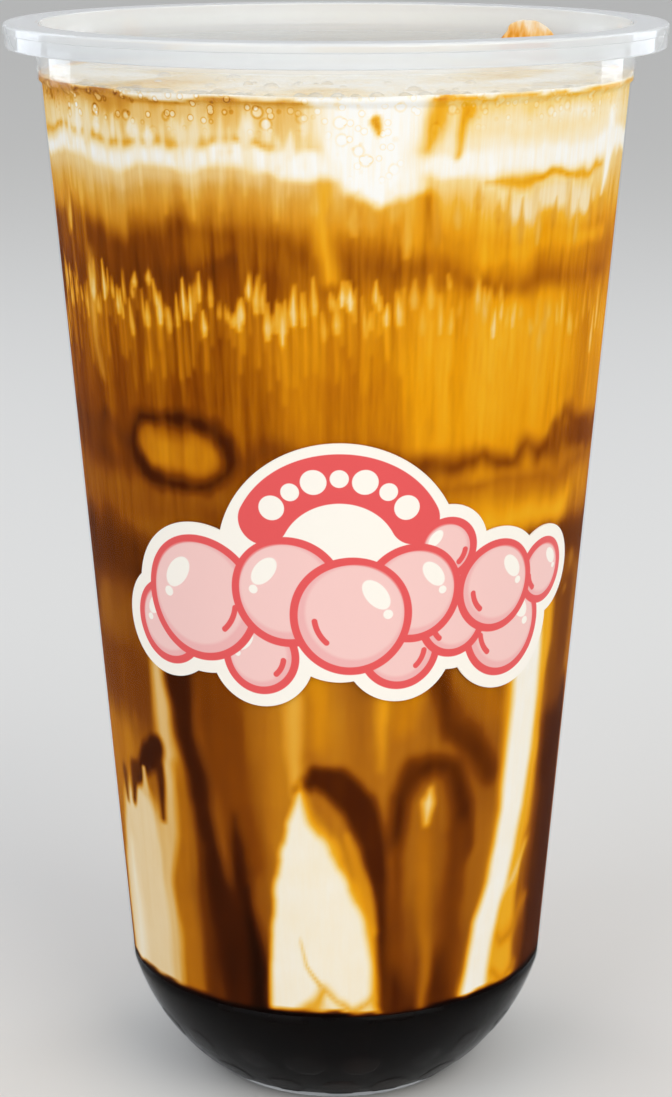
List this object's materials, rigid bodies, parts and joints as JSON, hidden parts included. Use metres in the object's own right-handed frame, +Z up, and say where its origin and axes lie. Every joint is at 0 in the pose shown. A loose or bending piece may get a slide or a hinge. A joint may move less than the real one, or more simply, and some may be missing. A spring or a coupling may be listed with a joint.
{
  "type": "bubble tea",
  "caption": "Clear U-shaped plastic cup of brown sugar bubble tea with dark tapioca pearls, syrup-streaked milk tea, milk foam and a plain bubble sticker.",
  "frame": {"origin": "centre of the cup's foot, on the table", "axes": "+Z up along the cup's centre line, -Y towards the front, where the sticker is"},
  "size_m": [0.095, 0.095, 0.159],
  "materials": {
    "clear_plastic": "clear moulded polypropylene, glossy, faintly hazy at the rim",
    "tapioca": "wet, nearly black tapioca pearls in dark sugar syrup",
    "milk_tea": "opaque milk tea streaked with brown sugar syrup against the wall",
    "milk_foam": "pale milk foam with fine bubbles",
    "sticker_film": "glossy printed film with a cream border"
  },
  "bodies": {
    "root": {"cup": "clear_plastic", "pearls": "tapioca", "milk_tea": "milk_tea", "milk_foam": "milk_foam", "sticker": "sticker_film"}
  },
  "joints": []
}
